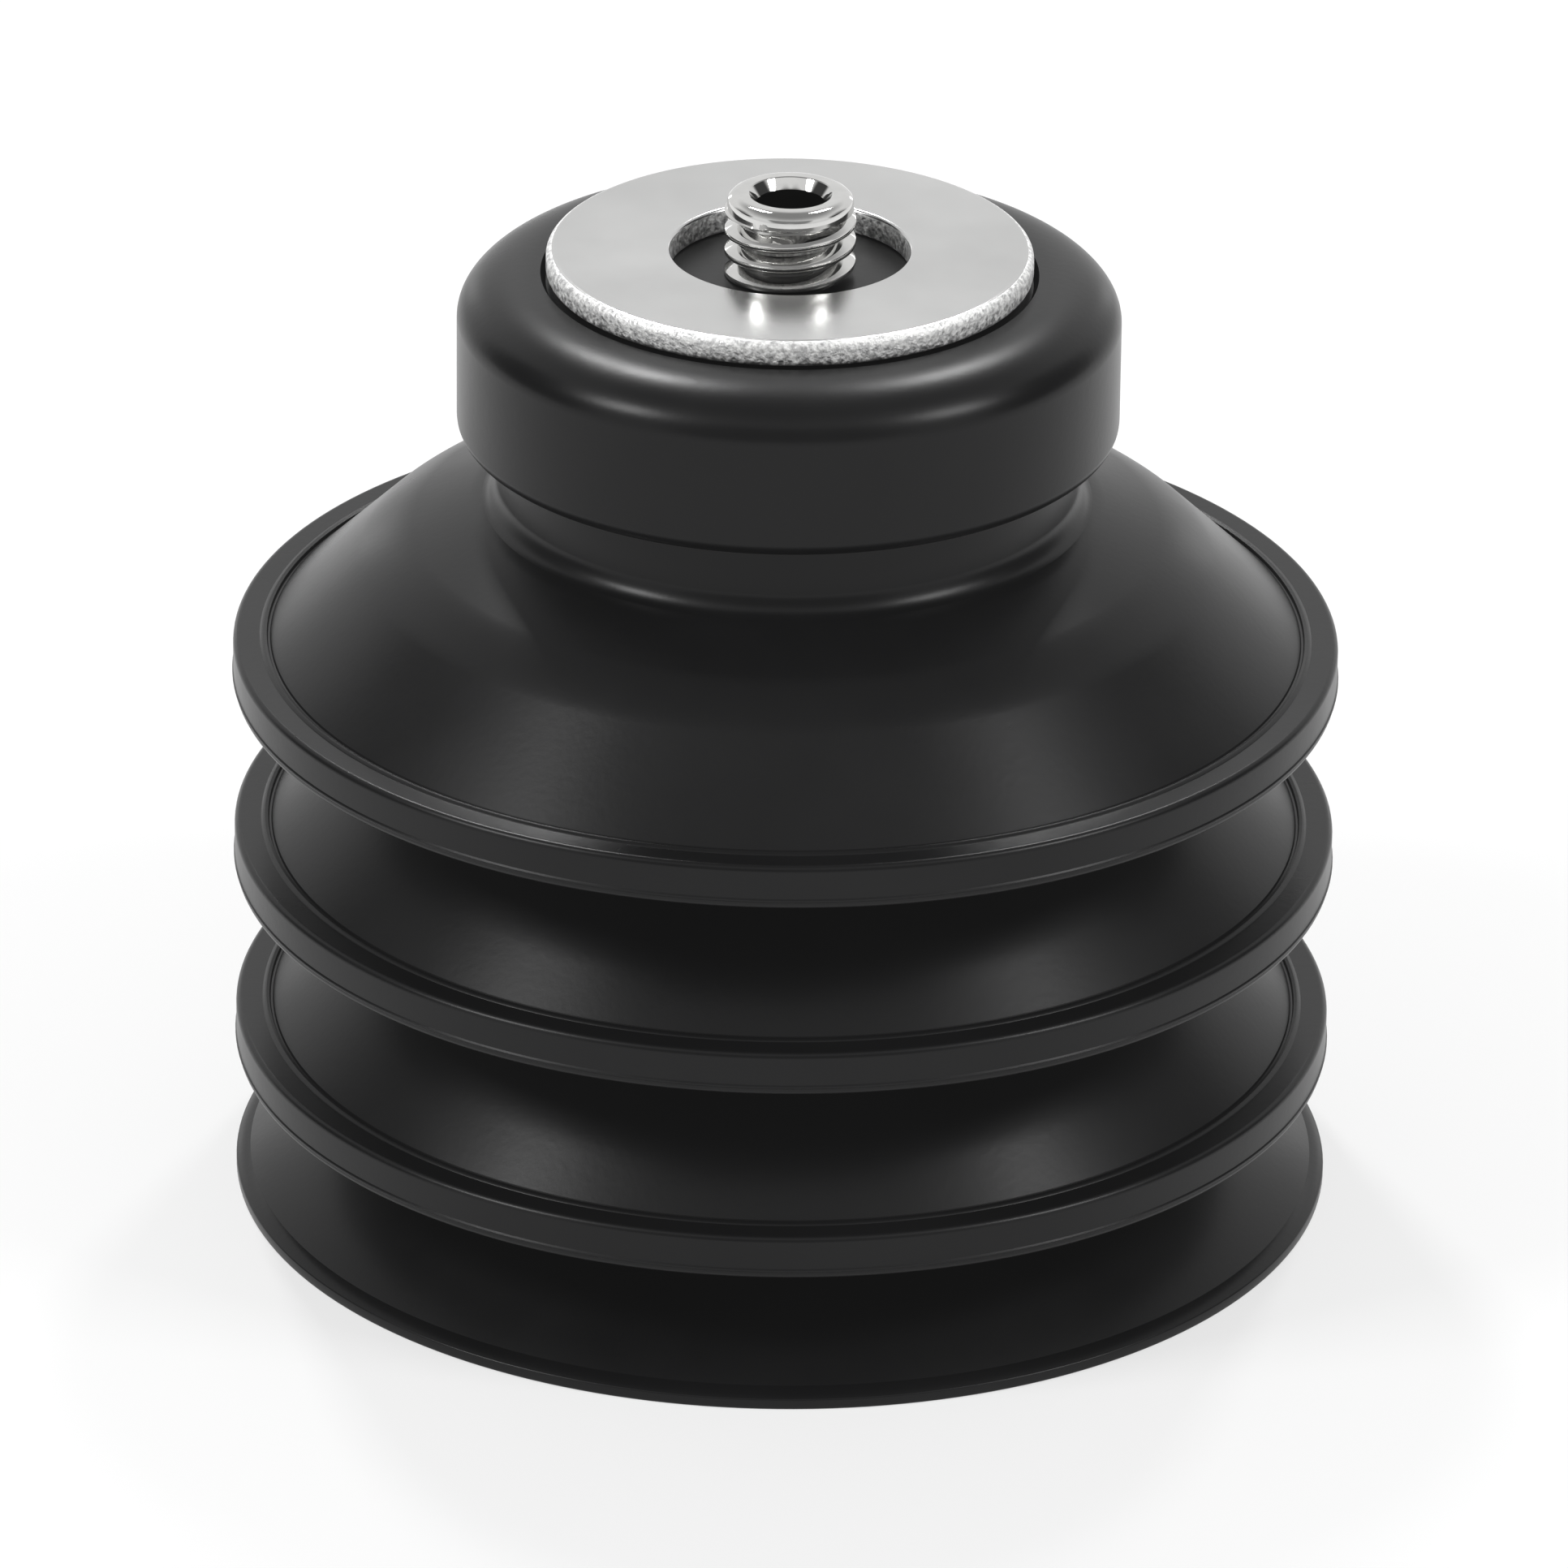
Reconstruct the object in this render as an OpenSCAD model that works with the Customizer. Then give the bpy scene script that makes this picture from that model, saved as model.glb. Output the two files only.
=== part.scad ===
// Bellows suction cup with three and a half folds, a vulcanised steel anchor and a hollow M6 stud.
// The lip rests on Z = 0, +Z is the cup's axis, and every sub-part is a ring turned about it.
// The rubber moulding is cut at its creases, so each zone between two creases is a node of its own.

/* [Cup] */
// Diameter over the lip and the rims
cup_d = 51; // [50.6:0.1:51.4]
// Height of the lowest rim's underside above the lip
rim_3_z = 6.6; // [6.5:0.05:6.8]
// Distance from one rim to the next
fold_pitch = 9.2; // [9.1:0.05:9.5]
// Height of a rim's outer face
rim_h = 2.1; // [1.9:0.05:2.2]
// Thickness of the folded wall
wall = 1.4; // [1.3:0.05:1.5]
// Width of the flat ring on top of each rim
rim_flat_w = 1.8; // [1.6:0.05:2]

/* [Shoulder] */
// Diameter of the bend between the shoulder's two slopes
bend_d = 37.2; // [36.8:0.1:37.6]
// Height of that bend
bend_z = 32; // [31.9:0.05:32.2]
// Slope of the shallow upper shoulder, in degrees
shallow_angle = 22.5; // [21:0.5:24]

/* [Neck and collar] */
// Outer diameter of the neck
neck_d = 26.6; // [26.2:0.1:27]
// Diameter of the hollow in the neck
neck_bore_d = 21; // [20.6:0.1:21.4]
// Outer diameter of the collar
collar_d = 30.3; // [30:0.1:30.6]
// Height of the collar's underside
collar_z = 37.4; // [37.2:0.05:37.5]
// Height of the collar's flat top
collar_top_z = 45; // [44.9:0.05:45.2]
// Diameter at which the collar's top starts to fall away
crown_d = 23; // [22.4:0.1:26]
// Height by which it has fallen at the collar's side
crown_fall = 2.2; // [1.8:0.1:2.2]

/* [Steel anchor] */
// Outer diameter of the support ring
ring_d = 22.2; // [21.8:0.1:22.6]
// Diameter of the hole in the support ring
ring_hole_d = 10.9; // [10.7:0.1:11.2]
// Thickness of the support ring
ring_t = 1.2; // [1:0.05:1.4]
// Diameter of the anchor plate inside the collar
plate_d = 25; // [24:0.1:25.4]
// Thickness of the anchor plate
plate_t = 2; // [1.8:0.05:2.1]

/* [Threaded stud] */
// Thread diameter
thread_d = 6; // [5.95:0.05:6]
// Height of the stud's tip above the lip
stud_top_z = 48.9; // [48.7:0.05:49.4]
// Diameter of the air channel through the stud
air_bore_d = 3.1; // [2.8:0.1:3.2]
// Chamfer on the stud's tip
tip_chamfer = 0.5; // [0.4:0.05:0.6]

/* [Hidden] */
$fn = 96;

rubber = [0.11, 0.11, 0.12];
fold_rubber = [0.16, 0.16, 0.17];
steel = [0.76, 0.77, 0.79];
plated = [0.86, 0.86, 0.85];

// Gap left at a crease between two zones that move apart
seam = 0.06;

cup_r = cup_d / 2;
flat_r = cup_r - rim_flat_w;
web_edge_r = cup_r - 1.3;
edge_round = 0.3;
bend_r = bend_d / 2;
neck_r = neck_d / 2;
neck_bore_r = neck_bore_d / 2;
collar_r = collar_d / 2;

// Creases: where the flat web under a rim runs into the rim outside and into the waist inside
rim_crease_r = cup_r - 2.8;
waist_crease_r = cup_r - 7.3;
waist_notch_r = waist_crease_r - 0.46;
waist_hole_r = cup_r - 9.3;
waist_corner_r = waist_hole_r + 0.3;

// The steep wall of each fold keeps the slope of the lower shoulder
cone_slope = (bend_z - rim_top(1)) / (flat_r - bend_r);
cone_angle = atan(cone_slope);
cone_drop = wall / cos(cone_angle);
shallow_drop = wall / cos(shallow_angle);
web_angle = 12;
web_rise = wall / cos(web_angle);

function rim_bottom(k) = rim_3_z + (3 - k) * fold_pitch;
function rim_top(k) = rim_bottom(k) + rim_h;
function cone_outside(k, r) = rim_top(k) + (flat_r - r) * cone_slope;
function cone_inside(k, r) = cone_outside(k, r) - cone_drop;
function web_below(k, r) = rim_bottom(k) - (web_edge_r - r) * tan(web_angle);
function web_above(k, r) = web_below(k, r) + web_rise;
function shallow_outside(r) = bend_z + (bend_r - r) * tan(shallow_angle);
function shallow_inside(r) = shallow_outside(r) - shallow_drop;

// A fold's steep wall is cut level with the rim's flat top, and level with the waist above it
rim_cut_r = flat_r - cone_drop / cone_slope;
function waist_cut_z(k) = cone_outside(k + 1, waist_crease_r);

// Radius at which the shoulder's two inner slopes meet
inner_bend_r = bend_r - (cone_drop - shallow_drop) / (cone_slope - tan(shallow_angle));
neck_foot_z = shallow_outside(neck_r);
neck_crease_r = neck_r + 0.7;

// Lip and skirt
lip_edge_h = 0.5;
lip_bevel_r = cup_r - 1.5;
lip_land_r = cup_r - 0.8;
lip_inner_z = 0.4;
lip_cut_z = 0.9;
skirt_slope = (web_below(3, waist_notch_r) - lip_edge_h) / (cup_r - waist_notch_r);
function skirt_outside(r) = lip_edge_h + (cup_r - r) * skirt_slope;
skirt_cut_z = skirt_outside(waist_crease_r);
skirt_inner_slope = (skirt_cut_z - lip_inner_z) / (lip_bevel_r - waist_hole_r);
lip_cut_outer_r = cup_r - (lip_cut_z - lip_edge_h) / skirt_slope;
lip_cut_inner_r = lip_bevel_r - (lip_cut_z - lip_inner_z) / skirt_inner_slope;

// Anchor, from the stud's riveted foot to its tip
air_bore_r = air_bore_d / 2;
thread_r = thread_d / 2;
relief_r = thread_r - 0.5;
foot_r = 4.4;
foot_z = collar_z + 1.3;
plate_z = collar_z + 2.8;
plate_top_z = plate_z + plate_t;
stud_shoulder_r = 4.7;
stud_shoulder_z = plate_top_z + 1.6;
thread_start_z = collar_top_z + 0.2;
ceiling_hole_r = foot_r + 1;

function arc(cx, cz, r, from, to, steps) =
    [for (i = [0 : steps]) let (a = from + (to - from) * i / steps) [cx + r * cos(a), cz + r * sin(a)]];

module turned(outline) {
    rotate_extrude() polygon(outline);
}

module threaded_stud() {
    color(plated) turned([
        [air_bore_r, foot_z], [foot_r - 0.4, foot_z], [foot_r, foot_z + 0.4], [foot_r, plate_z],
        [thread_r, plate_z], [thread_r, plate_top_z],
        [stud_shoulder_r, plate_top_z], [stud_shoulder_r, stud_shoulder_z],
        [relief_r, stud_shoulder_z], [relief_r, thread_start_z],
        [thread_r, thread_start_z], [thread_r, stud_top_z - tip_chamfer],
        [thread_r - tip_chamfer, stud_top_z],
        [air_bore_r + tip_chamfer, stud_top_z], [air_bore_r, stud_top_z - tip_chamfer]]);
}

module support_ring() {
    inner_r = ring_hole_d / 2;
    outer_r = ring_d / 2;
    top_z = collar_top_z + ring_t;
    burr = 0.15;
    color(steel) turned([
        [inner_r, collar_top_z], [outer_r, collar_top_z], [outer_r, top_z - burr],
        [outer_r - burr, top_z], [inner_r + burr, top_z], [inner_r, top_z - burr]]);
}

module anchor_plate() {
    color(steel) turned([
        [thread_r, plate_z], [plate_d / 2, plate_z], [plate_d / 2, plate_top_z], [thread_r, plate_top_z]]);
}

module collar() {
    color(rubber) turned(concat(
        [[relief_r, stud_shoulder_z], [relief_r, collar_top_z]],
        [for (turn = [90:-10:0]) [crown_d / 2 + (collar_r - crown_d / 2) * cos(turn),
            collar_top_z - crown_fall * (1 - sin(turn))]],
        arc(collar_r - 0.7, collar_z + 0.7, 0.7, 0, -90, 4),
        [[ceiling_hole_r, collar_z], [ceiling_hole_r, plate_z],
         [plate_d / 2, plate_z], [plate_d / 2, plate_top_z],
         [stud_shoulder_r, plate_top_z], [stud_shoulder_r, stud_shoulder_z]]));
}

module neck() {
    color(rubber) turned([
        [neck_bore_r, collar_z], [neck_r, collar_z], [neck_r, neck_foot_z],
        [neck_crease_r, shallow_outside(neck_crease_r)], [neck_crease_r, shallow_inside(neck_crease_r)],
        [neck_bore_r + 1.2, shallow_inside(neck_bore_r + 1.2)],
        [neck_bore_r, shallow_inside(neck_bore_r) + 0.5]]);
}

module shoulder_upper() {
    outer_r = bend_r - seam / 2;
    color(fold_rubber) turned([
        [neck_crease_r, shallow_inside(neck_crease_r)], [neck_crease_r, shallow_outside(neck_crease_r)],
        [outer_r, shallow_outside(outer_r)], [outer_r, cone_inside(1, outer_r)],
        [inner_bend_r, shallow_inside(inner_bend_r)]]);
}

module shoulder_lower() {
    inner_r = bend_r + seam / 2;
    rise_r = seam / cone_slope;
    color(fold_rubber) turned([
        [inner_r, cone_inside(1, inner_r)], [inner_r, cone_outside(1, inner_r)],
        [flat_r - rise_r, rim_top(1) + seam], [rim_cut_r - rise_r, rim_top(1) + seam]]);
}

// Steep wall that spreads from the waist above down to rim k
module cone(k) {
    low = rim_top(k) + seam;
    high = waist_cut_z(k - 1) - seam;
    outer_low_r = flat_r - seam / cone_slope;
    outer_high_r = waist_crease_r + seam / cone_slope;
    wall_w = cone_drop / cone_slope;
    color(fold_rubber) turned([
        [outer_high_r - wall_w, high], [outer_high_r, high],
        [outer_low_r, low], [outer_low_r - wall_w, low]]);
}

module rim(k) {
    top = rim_top(k);
    bottom = rim_bottom(k);
    color(rubber) turned(concat(
        [[rim_crease_r, web_below(k, rim_crease_r)], [rim_crease_r, web_above(k, rim_crease_r)],
         [rim_cut_r, top], [flat_r, top]],
        arc(cup_r - edge_round, top - edge_round, edge_round, 90, 0, 3),
        arc(cup_r - edge_round, bottom + edge_round, edge_round, 0, -90, 3),
        [[web_edge_r, bottom]]));
}

// Flat wall under a rim, leading in to the waist
module under_web(k) {
    inner_r = waist_crease_r + seam / 2;
    outer_r = rim_crease_r - seam / 2;
    color(fold_rubber) turned([
        [inner_r, web_below(k, inner_r)], [outer_r, web_below(k, outer_r)],
        [outer_r, web_above(k, outer_r)], [inner_r, web_above(k, inner_r)]]);
}

// Ring at the root of a fold, between the web above it and the wall that spreads out below cut_z
module waist(k, cut_z) {
    web_z = web_above(k, waist_corner_r);
    color(rubber) turned([
        [waist_hole_r, cut_z], [waist_crease_r, cut_z],
        [waist_notch_r, web_below(k, waist_notch_r)], [waist_crease_r, web_below(k, waist_crease_r)],
        [waist_crease_r, web_above(k, waist_crease_r)], [waist_corner_r, web_z],
        [waist_hole_r, web_z - 0.5]]);
}

module skirt() {
    high_z = skirt_cut_z - seam;
    color(fold_rubber) turned([
        [waist_hole_r, high_z], [waist_crease_r + seam / skirt_slope, high_z],
        [lip_cut_outer_r - seam / skirt_slope, lip_cut_z + seam],
        [lip_cut_inner_r - seam / skirt_inner_slope, lip_cut_z + seam]]);
}

module sealing_lip() {
    color(rubber) turned([
        [lip_cut_inner_r, lip_cut_z], [lip_cut_outer_r, lip_cut_z],
        [cup_r, lip_edge_h], [cup_r, 0], [lip_land_r, 0], [lip_bevel_r, lip_inner_z]]);
}

threaded_stud();
support_ring();
anchor_plate();
collar();
neck();
shoulder_upper();
shoulder_lower();
rim(1);  // rim_1
under_web(1);  // under_web_1
waist(1, waist_cut_z(1));  // waist_1
cone(2);  // cone_2
rim(2);  // rim_2
under_web(2);  // under_web_2
waist(2, waist_cut_z(2));  // waist_2
cone(3);  // cone_3
rim(3);  // rim_3
under_web(3);  // under_web_3
waist(3, skirt_cut_z);  // waist_3
skirt();
sealing_lip();
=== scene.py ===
import math

import bmesh
import bpy
from mathutils import Matrix, Vector


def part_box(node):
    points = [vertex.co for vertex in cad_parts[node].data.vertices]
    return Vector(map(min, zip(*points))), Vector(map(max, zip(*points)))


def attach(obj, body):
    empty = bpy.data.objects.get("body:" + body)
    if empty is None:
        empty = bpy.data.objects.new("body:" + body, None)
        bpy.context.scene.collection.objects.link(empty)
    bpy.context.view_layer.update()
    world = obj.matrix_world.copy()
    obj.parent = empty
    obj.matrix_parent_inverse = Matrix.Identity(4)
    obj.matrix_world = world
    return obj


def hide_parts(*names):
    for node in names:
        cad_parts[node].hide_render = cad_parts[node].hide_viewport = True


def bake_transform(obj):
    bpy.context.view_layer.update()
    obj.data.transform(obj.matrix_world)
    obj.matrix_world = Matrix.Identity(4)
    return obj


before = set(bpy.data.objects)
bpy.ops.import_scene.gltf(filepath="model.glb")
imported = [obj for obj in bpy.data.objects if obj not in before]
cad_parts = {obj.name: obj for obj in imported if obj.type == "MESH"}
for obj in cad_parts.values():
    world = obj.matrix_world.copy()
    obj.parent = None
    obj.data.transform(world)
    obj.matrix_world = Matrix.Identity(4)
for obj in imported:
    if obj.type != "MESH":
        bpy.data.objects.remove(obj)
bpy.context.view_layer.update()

# ---- Collar ---------------------------------------------------------------------------------------
# The solid head of the cup's one rubber moulding, vulcanised round the steel anchor. The mould leaves
# a broad rounded top edge and a small radius underneath, and a groove round the ring that sits on it.
mm = 0.001
collar_low, collar_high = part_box("collar")
collar_r = collar_high.x
plate_low, plate_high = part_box("anchor_plate")
stud_low, stud_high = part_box("threaded_stud")
support_low, support_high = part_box("support_ring")
ceiling_hole_r = 5.4 * mm
stud_flange_r = 4.7 * mm
stud_flange_t = 1.6 * mm
stud_neck_r = 2.5 * mm


def surface_grain():
    """A node group with the fine grain and the broad clouding of a surface, both from 0 to 1."""
    group = bpy.data.node_groups.new("surface_grain", "ShaderNodeTree")
    for name, value in (("Grain Scale", 2500.0), ("Cloud Scale", 90.0), ("Cloud Contrast", 1.0)):
        socket = group.interface.new_socket(name, in_out="INPUT", socket_type="NodeSocketFloat")
        socket.default_value = value
    for name in ("Grain", "Cloud"):
        group.interface.new_socket(name, in_out="OUTPUT", socket_type="NodeSocketFloat")
    given = group.nodes.new("NodeGroupInput")
    made = group.nodes.new("NodeGroupOutput")
    place = group.nodes.new("ShaderNodeTexCoord")
    grain = group.nodes.new("ShaderNodeTexNoise")
    grain.inputs["Detail"].default_value = 4.0
    cloud = group.nodes.new("ShaderNodeTexNoise")
    cloud.inputs["Detail"].default_value = 3.0
    cloud.inputs["Roughness"].default_value = 0.55
    spread = group.nodes.new("ShaderNodeMath")
    spread.operation = "MULTIPLY_ADD"
    spread.use_clamp = True
    centred = group.nodes.new("ShaderNodeMath")
    centred.operation = "SUBTRACT"
    centred.inputs[1].default_value = 0.5
    link = group.links.new
    for noise, scale in ((grain, "Grain Scale"), (cloud, "Cloud Scale")):
        link(place.outputs["Object"], noise.inputs["Vector"])
        link(given.outputs[scale], noise.inputs["Scale"])
    link(cloud.outputs["Fac"], centred.inputs[0])
    link(centred.outputs[0], spread.inputs[0])
    link(given.outputs["Cloud Contrast"], spread.inputs[1])
    spread.inputs[2].default_value = 0.5
    link(grain.outputs["Fac"], made.inputs["Grain"])
    link(spread.outputs[0], made.inputs["Cloud"])
    return group


grain_group = surface_grain()


def finish_of(name, grain_scale, cloud_scale, contrast, colours, roughness, bump):
    """A new material: the grain group clouds the colour and the roughness and raises the grain."""
    material = bpy.data.materials.new(name)
    material.use_nodes = True
    nodes, link = material.node_tree.nodes, material.node_tree.links.new
    shader = nodes["Principled BSDF"]
    grain = nodes.new("ShaderNodeGroup")
    grain.node_tree = grain_group
    grain.inputs["Grain Scale"].default_value = grain_scale
    grain.inputs["Cloud Scale"].default_value = cloud_scale
    grain.inputs["Cloud Contrast"].default_value = contrast
    tone = nodes.new("ShaderNodeMix")
    tone.data_type = "RGBA"
    tone.inputs["A"].default_value = (*colours[0], 1)
    tone.inputs["B"].default_value = (*colours[1], 1)
    gloss = nodes.new("ShaderNodeMapRange")
    gloss.inputs["To Min"].default_value = roughness[0]
    gloss.inputs["To Max"].default_value = roughness[1]
    relief = nodes.new("ShaderNodeBump")
    relief.inputs["Strength"].default_value = bump[0]
    relief.inputs["Distance"].default_value = bump[1]
    link(grain.outputs["Cloud"], tone.inputs["Factor"])
    link(grain.outputs["Cloud"], gloss.inputs["Value"])
    link(grain.outputs["Grain"], relief.inputs["Height"])
    link(tone.outputs["Result"], shader.inputs["Base Color"])
    link(gloss.outputs["Result"], shader.inputs["Roughness"])
    link(relief.outputs["Normal"], shader.inputs["Normal"])
    return material


def moulded_rubber():
    """Black nitrile rubber, satin from the mould, with a faint clouding where the bloom is uneven."""
    material = finish_of("moulded_rubber", grain_scale=2600.0, cloud_scale=110.0, contrast=2.0,
                         colours=((0.0036, 0.0036, 0.0039), (0.0062, 0.0062, 0.0065)),
                         roughness=(0.26, 0.34), bump=(0.20, 0.02 * mm))
    material.node_tree.nodes["Principled BSDF"].inputs["Specular IOR Level"].default_value = 0.20
    return material


rubber = moulded_rubber()


def shown(name, mesh, sharp=35):
    """The finished mesh as an object, smooth but for the edges sharper than that angle."""
    bmesh.ops.remove_doubles(mesh, verts=mesh.verts, dist=0.0005 * mm)
    bmesh.ops.recalc_face_normals(mesh, faces=mesh.faces)
    data = bpy.data.meshes.new(name)
    mesh.to_mesh(data)
    mesh.free()
    data.shade_smooth()
    data.set_sharp_from_angle(angle=math.radians(sharp))
    piece = bpy.data.objects.new(name, data)
    bpy.context.scene.collection.objects.link(piece)
    evened = piece.modifiers.new("even_shading", "WEIGHTED_NORMAL")
    evened.keep_sharp = True
    return piece


def turned(name, outline, rounds=None, longest=None, middle=None, turn=360, steps=192):
    """A solid ring: an outline of (radius, height) points turned about the cup's axis.
    rounds sets a corner back by a length in so many segments. longest splits edges, so that the ring
    can bend. middle and turn make a sector, closed at both ends, instead of a full ring."""
    mesh = bmesh.new()
    first = math.radians(middle - turn / 2) if middle is not None else 0
    across = Vector((math.cos(first), math.sin(first), 0))
    corners = [mesh.verts.new(across * r + Vector((0, 0, z))) for r, z in outline]
    mesh.faces.new(corners)
    for corner, (setback, segments) in (rounds or {}).items():
        bmesh.ops.bevel(mesh, geom=[corners[corner]], affect="VERTICES", offset=setback,
                        segments=segments, profile=0.5, material=-1)
    bmesh.ops.delete(mesh, geom=mesh.faces[:], context="FACES_ONLY")
    for edge in mesh.edges[:] if longest else []:
        cuts = int(edge.calc_length() / longest)
        if cuts:
            bmesh.ops.subdivide_edges(mesh, edges=[edge], cuts=cuts)
    bmesh.ops.spin(mesh, geom=mesh.verts[:] + mesh.edges[:], cent=(0, 0, 0), axis=(0, 0, 1),
                   angle=math.radians(turn), steps=steps, use_merge=turn == 360)
    if turn < 360:
        bmesh.ops.holes_fill(mesh, edges=[e for e in mesh.edges if e.is_boundary], sides=0)
    return shown(name, mesh)


def moulded(piece, *nodes):
    """That piece is of the rubber, and stands for those nodes."""
    piece.data.materials.append(rubber)
    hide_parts(*nodes)
    return piece


groove_r = support_high.x
groove_w = 0.25 * mm
groove_d = 0.45 * mm
crown_r = groove_r + 0.4 * mm
crown_fall = 2.2 * mm
CROWN_STEPS = 20
crown = []
for step in range(CROWN_STEPS, -1, -1):
    angle = math.radians(90 * step / CROWN_STEPS)
    crown.append((crown_r + (collar_r - crown_r) * math.sin(angle),
                  collar_high.z - crown_fall * (1 - math.cos(angle))))
collar_outline = [
    (ceiling_hole_r, collar_low.z),
    (collar_r, collar_low.z),
    *crown,
    (groove_r + groove_w, collar_high.z),
    (groove_r, collar_high.z - groove_d),
    (groove_r - groove_w, collar_high.z - groove_d),
    (groove_r - groove_w, collar_high.z),
    (stud_neck_r, collar_high.z),
    (stud_neck_r, plate_high.z + stud_flange_t),
    (stud_flange_r, plate_high.z + stud_flange_t),
    (stud_flange_r, plate_high.z),
    (plate_high.x, plate_high.z),
    (plate_high.x, plate_low.z),
    (ceiling_hole_r, plate_low.z),
]
collar = turned("moulded_collar", collar_outline, rounds={1: (0.7 * mm, 6)})
moulded(collar, "collar")
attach(collar, "fixed_head")

# ---- Neck -----------------------------------------------------------------------------------------
# The short waist between collar and shoulder, where the cup bends. Its wall runs down into the
# shoulder in a small hollow radius, and its bore opens into the cup.
neck_r = 13.3 * mm
neck_bore_r = 10.5 * mm
neck_foot_r = 14.0 * mm
bend_r = 18.6 * mm
bend_z = 32.0 * mm
shallow = math.tan(math.radians(22.5))
foot_z = bend_z + (bend_r - neck_foot_r) * shallow
neck_wall_z = bend_z + (bend_r - neck_r) * shallow
wall_drop = 1.515 * mm
throat_r = 11.7 * mm
throat_lead = 0.5 * mm
throat_z = bend_z + (bend_r - throat_r) * shallow - wall_drop
throat_top_z = bend_z + (bend_r - neck_bore_r) * shallow - wall_drop + throat_lead
throat_cut_r = throat_r - (throat_r - neck_bore_r) * (foot_z - throat_z) / (throat_top_z - throat_z)
neck = turned("moulded_neck", [
    (neck_bore_r, collar_low.z),
    (neck_r, collar_low.z),
    (neck_r, neck_wall_z),
    (neck_foot_r, foot_z),
    (throat_cut_r, foot_z),
    (neck_bore_r, throat_top_z),
], rounds={2: (0.68 * mm, 8)})
moulded(neck, "neck")
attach(neck, "fixed_head")

# ---- Shoulder -------------------------------------------------------------------------------------
# The first and stiffest fold: a shallow slope from the neck, then a steep one down to the top rim.
# One wall of rubber, which gives between the collar and that rim when the cup is pressed down.
rim_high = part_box("rim_1")[1]
cup_r = rim_high.x
rim_ledge = 1.8 * mm
fold_r = cup_r - rim_ledge
steep = (bend_z - rim_high.z) / (fold_r - bend_r)
wall_fall = 1.942 * mm
fold_inner_r = fold_r - wall_fall / steep
inner_bend_r = bend_r - (wall_fall - wall_drop) / (steep - shallow)
inner_bend_z = bend_z + (bend_r - inner_bend_r) * shallow - wall_drop
bend_step = 0.7 * mm
shoulder = turned("moulded_shoulder", [
    (throat_cut_r, foot_z),
    (neck_foot_r, foot_z),
    (bend_r, bend_z),
    (fold_r, rim_high.z),
    (fold_inner_r, rim_high.z),
    (inner_bend_r, inner_bend_z),
    (throat_r, throat_z),
], rounds={2: (1.6 * mm, 10), 5: (1.2 * mm, 6)}, longest=bend_step)
moulded(shoulder, "shoulder_upper", "shoulder_lower")
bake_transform(shoulder)

# ---- Rims -----------------------------------------------------------------------------------------
# Three stout rims that keep the folds round. The mould leaves a fine groove and a raised bead at the
# foot of the wall above, rounded corners, and a hair of flash low on the outer face.
web_edge_r = cup_r - 1.3 * mm
web_r = 22.7 * mm
waist_r = 18.2 * mm
web_slope = math.tan(math.radians(12))
web_t = 1.431 * mm
rim_h = 2.1 * mm
bead_r = fold_r + 0.34 * mm
bead_h = 0.09 * mm
bead_half_w = 0.14 * mm
groove_floor = 0.09 * mm
ledge_drop = 0.02 * mm
flash_z = 0.42 * mm
flash_h = 0.05 * mm


def web_below(rim_top, r):
    """Height of the web's underside below a rim, at that radius."""
    return rim_top - rim_h - (web_edge_r - r) * web_slope


for number in (1, 2, 3):
    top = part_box(f"rim_{number}")[1].z
    bottom = top - rim_h
    rim = turned(f"moulded_rim_{number}", [
        (web_r, web_below(top, web_r)),
        (web_r, web_below(top, web_r) + web_t),
        (fold_inner_r, top),
        (fold_r, top),
        (fold_r + 0.05 * mm, top - groove_floor),
        (fold_r + 0.14 * mm, top - groove_floor),
        (bead_r - bead_half_w, top + bead_h / 2),
        (bead_r, top + bead_h),
        (bead_r + bead_half_w, top + bead_h / 2),
        (bead_r + 0.20 * mm, top - ledge_drop),
        (cup_r - flash_h, top - ledge_drop),
        (cup_r - flash_h, bottom + flash_z + 0.10 * mm),
        (cup_r, bottom + flash_z + 0.03 * mm),
        (cup_r, bottom + flash_z - 0.03 * mm),
        (cup_r - flash_h, bottom + flash_z - 0.10 * mm),
        (cup_r - flash_h, bottom),
        (web_edge_r, bottom),
    ], rounds={10: (0.30 * mm, 5), 15: (0.25 * mm, 5)})
    moulded(rim, f"rim_{number}")
    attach(rim, f"rim_{number}")

# ---- Webs under the rims --------------------------------------------------------------------------
# The thin, nearly level wall from a rim in to the fold's waist. It bends when the cup leans, so the
# upper two are laid out in sectors of 15 degrees each. The lowest one doesn't bend.
SECTORS = 24
sector_turn = 360 / SECTORS


def web_outline(rim_top):
    """The web's cross-section under the rim whose top is at that height."""
    inner, outer = web_below(rim_top, waist_r), web_below(rim_top, web_r)
    return [(waist_r, inner), (web_r, outer), (web_r, outer + web_t), (waist_r, inner + web_t)]


for number in (1, 2):
    outline = web_outline(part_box(f"rim_{number}")[1].z)
    for sector in range(SECTORS):
        middle = sector * sector_turn
        web = turned(f"moulded_web_{number}_{sector:02d}", outline, longest=0.4 * mm, middle=middle,
                     turn=sector_turn, steps=8)
        moulded(web, f"under_web_{number}")
        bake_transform(web)

lowest_web = turned("moulded_web_3", web_outline(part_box("rim_3")[1].z))
moulded(lowest_web, "under_web_3")
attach(lowest_web, "rim_3")

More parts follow.
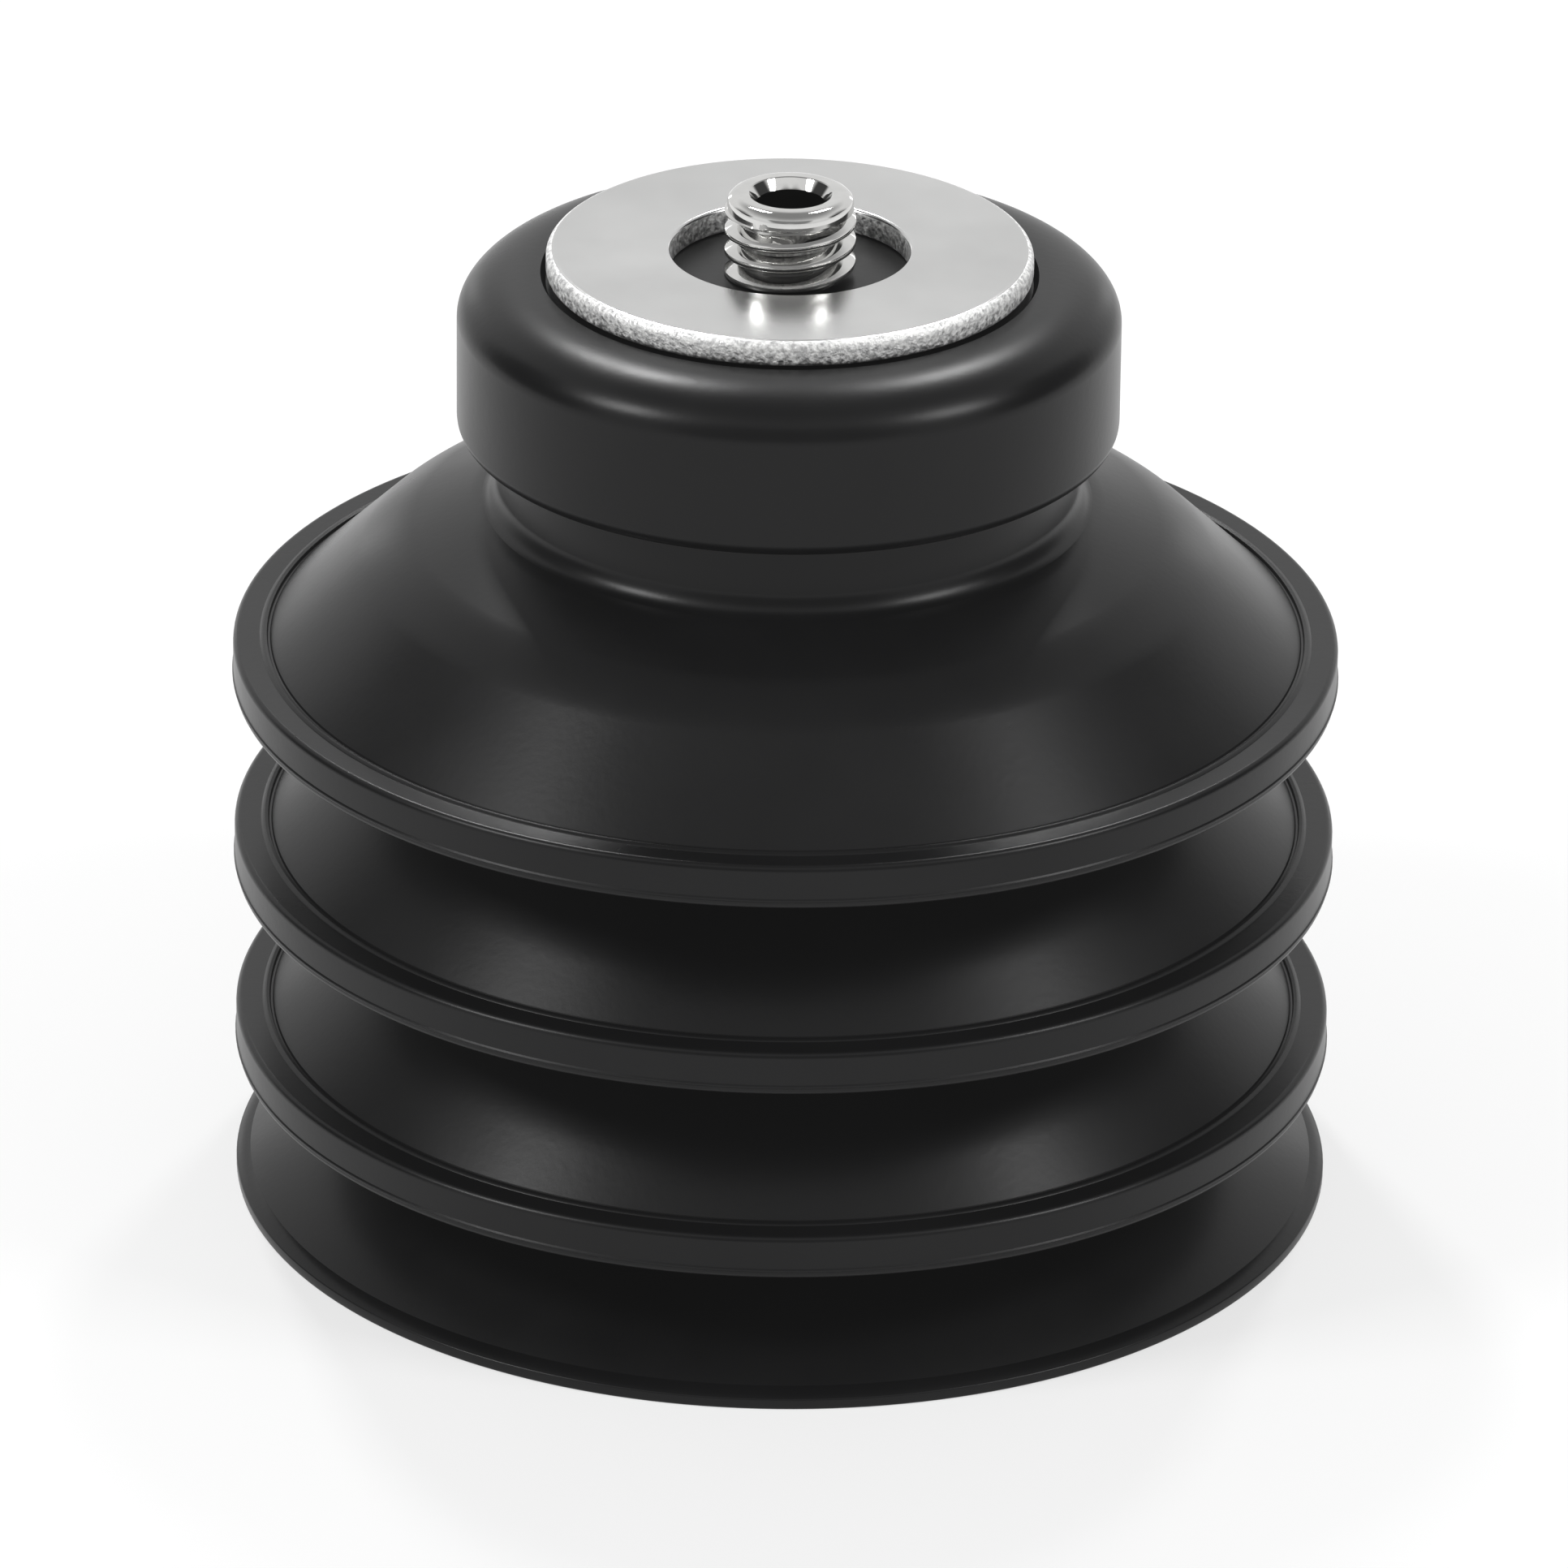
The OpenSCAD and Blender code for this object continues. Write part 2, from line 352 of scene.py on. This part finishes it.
# ---- Waists and cones -----------------------------------------------------------------------------
# Each fold turns at a narrow waist, with a hollow radius outside, and comes back out to the next rim
# as a steep cone of the same wall. The cone is what closes when the cup is pressed or sucked down.
waist_inner_r = waist_r - 2.0 * mm
crease_r = 17.74 * mm
ledge_r = waist_inner_r + 0.3 * mm
for number in (1, 2, 3):
    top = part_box(f"rim_{number}")[1].z
    cut_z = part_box(f"waist_{number}")[0].z
    waist = turned(f"moulded_waist_{number}", [
        (waist_inner_r, cut_z),
        (waist_r, cut_z),
        (crease_r, web_below(top, crease_r)),
        (waist_r, web_below(top, waist_r)),
        (waist_r, web_below(top, waist_r) + web_t),
        (ledge_r, web_below(top, ledge_r) + web_t),
        (waist_inner_r, web_below(top, ledge_r) + web_t - 0.5 * mm),
    ], rounds={2: (0.3 * mm, 6), 5: (0.3 * mm, 4)})
    moulded(waist, f"waist_{number}")
    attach(waist, f"waist_{number}" if number < 3 else "rim_3")
    if number == 3:
        continue
    next_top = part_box(f"rim_{number + 1}")[1].z
    cone = turned(f"moulded_cone_{number + 1}", [
        (waist_inner_r, cut_z),
        (waist_r, cut_z),
        (fold_r, next_top),
        (fold_inner_r, next_top),
    ], longest=bend_step)
    moulded(cone, f"cone_{number + 1}")
    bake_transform(cone)

# ---- Skirt and sealing lip ------------------------------------------------------------------------
# The skirt thins towards the lip, which is what seals on the work. It flattens before the folds
# close. The lip has a narrow upright edge and a ground sealing face.
skirt_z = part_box("waist_3")[0].z
lip_z = 0.9 * mm
lip_edge_z = 0.5 * mm
skirt_slope = 0.609
skirt_inner_slope = 0.583
lip_outer_r = cup_r - (lip_z - lip_edge_z) / skirt_slope
lip_inner_r = waist_inner_r + (skirt_z - lip_z) / skirt_inner_slope
skirt = turned("moulded_skirt", [
    (waist_inner_r, skirt_z),
    (waist_r, skirt_z),
    (lip_outer_r, lip_z),
    (lip_inner_r, lip_z),
], longest=bend_step)
moulded(skirt, "skirt")
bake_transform(skirt)

lip = turned("moulded_lip", [
    (lip_inner_r, lip_z),
    (lip_outer_r, lip_z),
    (cup_r - 0.10 * mm, lip_edge_z + 0.06 * mm),
    (cup_r, lip_edge_z + 0.02 * mm),
    (cup_r, 0),
    (cup_r - 0.8 * mm, 0),
    (cup_r - 1.5 * mm, 0.4 * mm),
], rounds={3: (0.06 * mm, 3), 4: (0.12 * mm, 4)})
moulded(lip, "sealing_lip")
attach(lip, "sealing_lip")

# ---- Support ring ---------------------------------------------------------------------------------
# A flat steel ring bonded to the collar, which the gripper's arm bears on. Blanked from sheet, then
# barrelled and plated: the faces are satin, and the sheared edge stays grainy.
support_hole_r = 5.45 * mm
outer_edge_r = support_high.x - 0.30 * mm
hole_edge_r = support_hole_r + 0.02 * mm
support_ring = turned("steel_support_ring", [
    (support_hole_r, support_low.z),
    (support_high.x, support_low.z),
    (support_high.x, support_high.z),
    (support_hole_r, support_high.z),
], rounds={0: (0.12 * mm, 3), 1: (0.25 * mm, 5), 2: (0.42 * mm, 8), 3: (0.20 * mm, 5)})

satin_steel = finish_of("satin_steel", grain_scale=5200.0, cloud_scale=160.0, contrast=1.6,
                        colours=((0.56, 0.56, 0.555), (0.65, 0.65, 0.645)),
                        roughness=(0.16, 0.22), bump=(0.10, 0.01 * mm))
sheared_steel = finish_of("sheared_steel", grain_scale=5000.0, cloud_scale=4200.0, contrast=4.0,
                          colours=((0.62, 0.62, 0.62), (0.97, 0.97, 0.96)),
                          roughness=(0.40, 0.70), bump=(1.0, 0.08 * mm))
for steel in (satin_steel, sheared_steel):
    steel.node_tree.nodes["Principled BSDF"].inputs["Metallic"].default_value = 1.0
    support_ring.data.materials.append(steel)
for side in support_ring.data.polygons:
    away = side.center.xy.length
    side.material_index = int(away > outer_edge_r or away < hole_edge_r)
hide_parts("support_ring")
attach(support_ring, "fixed_head")

# ---- Anchor plate ---------------------------------------------------------------------------------
# The pressed disc that the rubber grips, out of sight inside the collar. Plain sheet steel, roughened
# so that the rubber bonds to it.
bonded_steel = finish_of("bonded_steel", grain_scale=1800.0, cloud_scale=120.0, contrast=2.0,
                         colours=((0.30, 0.30, 0.31), (0.42, 0.42, 0.43)),
                         roughness=(0.45, 0.60), bump=(0.5, 0.05 * mm))
bonded_steel.node_tree.nodes["Principled BSDF"].inputs["Metallic"].default_value = 1.0
plate_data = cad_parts["anchor_plate"].data
plate_data.materials.clear()
plate_data.materials.append(bonded_steel)

# ---- Threaded stud --------------------------------------------------------------------------------
# Turned steel, bright plated and bored right through for the air. A flange and a riveted foot hold it
# in the plate, and the free end has a rolled thread with a rounded lead.
pitch = 1.0 * mm
crest_r = 3.0 * mm
root_r = crest_r - 0.55 * mm
bore_r = 1.55 * mm
thread_low = 45.05 * mm
thread_high = stud_high.z - 0.82 * mm
lead_r = crest_r - 0.12 * mm
THREAD_STEPS = 96
thread = bmesh.new()
turns = math.ceil((thread_high - thread_low) / pitch) + 1
ridge = [  # radius, and height as a share of the pitch
    (root_r, 0),
    (root_r, 0.10),
    (crest_r - 0.08 * mm, 0.38),
    (crest_r - 0.02 * mm, 0.43),
    (crest_r, 0.50),
    (crest_r, 0.58),
    (crest_r - 0.02 * mm, 0.65),
    (crest_r - 0.08 * mm, 0.70),
    (root_r, 0.98),
    (root_r, 1.0),
]
first_turn_z = thread_low - pitch
points = [thread.verts.new((r, 0, first_turn_z + share * pitch)) for r, share in ridge]
for lower, upper in zip(points, points[1:]):
    thread.edges.new((lower, upper))
bmesh.ops.spin(thread, geom=thread.verts[:] + thread.edges[:], cent=(0, 0, 0), axis=(0, 0, 1),
               dvec=(0, 0, pitch / THREAD_STEPS), angle=math.tau * (turns + 1),
               steps=THREAD_STEPS * (turns + 1))
bmesh.ops.remove_doubles(thread, verts=thread.verts, dist=0.001 * mm)
for height, direction in ((thread_high, 1), (thread_low, -1)):
    bmesh.ops.bisect_plane(thread, geom=thread.verts[:] + thread.edges[:] + thread.faces[:],
                           dist=0.0001 * mm, plane_co=(0, 0, height), plane_no=(0, 0, direction),
                           clear_outer=True)


def open_end(mesh, height):
    """The open edges of the mesh at that height."""
    return [e for e in mesh.edges
            if e.is_boundary and all(abs(v.co.z - height) < 0.001 * mm for v in e.verts)]


rest_of_stud = [
    (lead_r, thread_high + 0.06 * mm),
    (lead_r, stud_high.z - 0.42 * mm),
    (lead_r - 0.05 * mm, stud_high.z - 0.26 * mm),
    (lead_r - 0.18 * mm, stud_high.z - 0.12 * mm),
    (lead_r - 0.36 * mm, stud_high.z - 0.03 * mm),
    (lead_r - 0.55 * mm, stud_high.z),
    (bore_r + 0.40 * mm, stud_high.z),
    (bore_r + 0.34 * mm, stud_high.z - 0.03 * mm),
    (bore_r + 0.05 * mm, stud_high.z - 0.40 * mm),
    (bore_r, stud_high.z - 0.48 * mm),
    (bore_r, stud_low.z),
    (4.2 * mm, stud_low.z),
    (4.4 * mm, stud_low.z + 0.2 * mm),
    (4.4 * mm, plate_low.z),
    (crest_r, plate_low.z),
    (crest_r, plate_high.z),
    (stud_flange_r, plate_high.z),
    (stud_flange_r, plate_high.z + stud_flange_t),
    (stud_neck_r, plate_high.z + stud_flange_t),
    (stud_neck_r, thread_low - 0.12 * mm),
]
rim_edges = open_end(thread, thread_high)
thread_start = open_end(thread, thread_low)
for radius, height in rest_of_stud:
    grown = bmesh.ops.extrude_edge_only(thread, edges=rim_edges)["geom"]
    fresh = {part for part in grown if isinstance(part, bmesh.types.BMVert)}
    for vert in fresh:
        out = Vector((vert.co.x, vert.co.y, 0)).normalized() * radius
        vert.co = out + Vector((0, 0, height))
    rim_edges = [part for part in grown
                 if isinstance(part, bmesh.types.BMEdge) and fresh.issuperset(part.verts)]
bmesh.ops.bridge_loops(thread, edges=rim_edges + thread_start)
stud = shown("hollow_stud", thread, sharp=24)

bright_plate = finish_of("bright_plate", grain_scale=3800.0, cloud_scale=700.0, contrast=1.5,
                         colours=((0.60, 0.60, 0.59), (0.74, 0.735, 0.72)),
                         roughness=(0.03, 0.07), bump=(0.05, 0.01 * mm))
bright_plate.node_tree.nodes["Principled BSDF"].inputs["Metallic"].default_value = 1.0
stud.data.materials.append(bright_plate)
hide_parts("threaded_stud")
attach(stud, "fixed_head")

# ---- Studio ---------------------------------------------------------------------------------------
# A white table under a white tent. On each side one softbox stands in front, one hangs overhead and a
# weak one stands low behind. The tent is darker overhead, round the camera and at both sides.
floor_mesh = bmesh.new()
bmesh.ops.create_circle(floor_mesh, cap_ends=True, segments=64, radius=3.0)
floor_data = bpy.data.meshes.new("table_top")
floor_mesh.to_mesh(floor_data)
floor_mesh.free()
floor = bpy.data.objects.new("table_top", floor_data)
bpy.context.scene.collection.objects.link(floor)
table_white = bpy.data.materials.new("table_white")
table_white.use_nodes = True
table_shader = table_white.node_tree.nodes["Principled BSDF"]
table_shader.inputs["Base Color"].default_value = (0.34, 0.34, 0.34, 1)
table_shader.inputs["Roughness"].default_value = 0.9
table_shader.inputs["Specular IOR Level"].default_value = 0.0
table_shader.inputs["Emission Color"].default_value = (1, 1, 1, 1)
table_shader.inputs["Emission Strength"].default_value = 0.60
floor_data.materials.append(table_white)

tent = bpy.data.worlds.new("white_tent")
tent.use_nodes = True
bpy.context.scene.world = tent
tent_nodes, tent_link = tent.node_tree.nodes, tent.node_tree.links.new
tent_place = tent_nodes.new("ShaderNodeTexCoord")
tent_cloth = tent_nodes["Background"]
tent_cloth.inputs["Color"].default_value = (1, 1, 1, 1)
brightness = tent_nodes.new("ShaderNodeValue")
brightness.outputs[0].default_value = 0.88
patches = [  # direction, half angle inside and outside, brightness
    ((0, 0.25, 0.97), 20, 50, 0.30),
    ((-0.26, -0.90, 0.36), 20, 30, 0.28),
    ((0.26, -0.90, 0.36), 20, 30, 0.28),
    ((-0.96, 0.15, 0.25), 20, 32, 0.05),
    ((0.96, 0.15, 0.25), 20, 32, 0.05),
]
so_far = brightness.outputs[0]
for direction, inside, outside, level in patches:
    facing = tent_nodes.new("ShaderNodeVectorMath")
    facing.operation = "DOT_PRODUCT"
    facing.inputs[1].default_value = Vector(direction).normalized()
    soft_edge = tent_nodes.new("ShaderNodeMapRange")
    soft_edge.interpolation_type = "SMOOTHSTEP"
    soft_edge.inputs["From Min"].default_value = math.cos(math.radians(outside))
    soft_edge.inputs["From Max"].default_value = math.cos(math.radians(inside))
    over = tent_nodes.new("ShaderNodeMix")
    over.inputs["B"].default_value = level
    tent_link(tent_place.outputs["Generated"], facing.inputs[0])
    tent_link(facing.outputs["Value"], soft_edge.inputs["Value"])
    tent_link(soft_edge.outputs["Result"], over.inputs["Factor"])
    tent_link(so_far, over.inputs["A"])
    so_far = over.outputs["Result"]
tent_link(so_far, tent_cloth.inputs["Strength"])

cup_middle = Vector((0, 0, 0.025))
lamp_distance = 0.75
softboxes = [  # name, direction, width, height, watts
    ("front_left", (-0.69, -0.29, 0.67), 0.20, 0.20, 2.0),
    ("front_right", (0.69, -0.29, 0.67), 0.20, 0.20, 1.7),
    ("overhead_left", (-0.20, 0.61, 0.77), 0.07, 0.16, 1.8),
    ("overhead_right", (0.20, 0.61, 0.77), 0.07, 0.16, 1.3),
    ("behind_left", (-0.42, 0.90, 0.12), 0.06, 0.16, 0.04),
    ("behind_right", (0.42, 0.90, 0.12), 0.06, 0.16, 0.03),
]
for name, direction, width, height, watts in softboxes:
    lamp = bpy.data.lights.new(name, "AREA")
    lamp.shape = "RECTANGLE"
    lamp.size = width
    lamp.size_y = height
    lamp.energy = watts
    box = bpy.data.objects.new(name, lamp)
    out = Vector(direction).normalized()
    box.location = cup_middle + out * lamp_distance
    box.rotation_euler = out.to_track_quat("Z", "Y").to_euler()
    bpy.context.scene.collection.objects.link(box)

elevation = math.radians(24.96)
head_tilt = math.radians(0.648)
camera_distance = 583.3 * mm
camera_rise = 1.28 * mm
towards = Vector((0, -math.cos(elevation), math.sin(elevation)))
upward = Vector((0, math.sin(elevation), math.cos(elevation)))
aim = Vector((0, 0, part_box("rim_2")[1].z))
lens = bpy.data.cameras.new("studio_camera")
lens.lens = 288.7
lens.sensor_width = 36
camera = bpy.data.objects.new("studio_camera", lens)
turned_head = Matrix((Vector((1, 0, 0)), upward, towards)).transposed()
camera.rotation_euler = (turned_head @ Matrix.Rotation(head_tilt, 3, "Z")).to_euler()
camera.location = aim + towards * camera_distance + upward * camera_rise
bpy.context.scene.collection.objects.link(camera)
bpy.context.scene.camera = camera
view = bpy.context.scene.view_settings
view.view_transform = "Standard"
view.use_curve_mapping = True
view.curve_mapping.black_level = (-0.006, -0.006, -0.006)  # the glare of so white a room in a lens
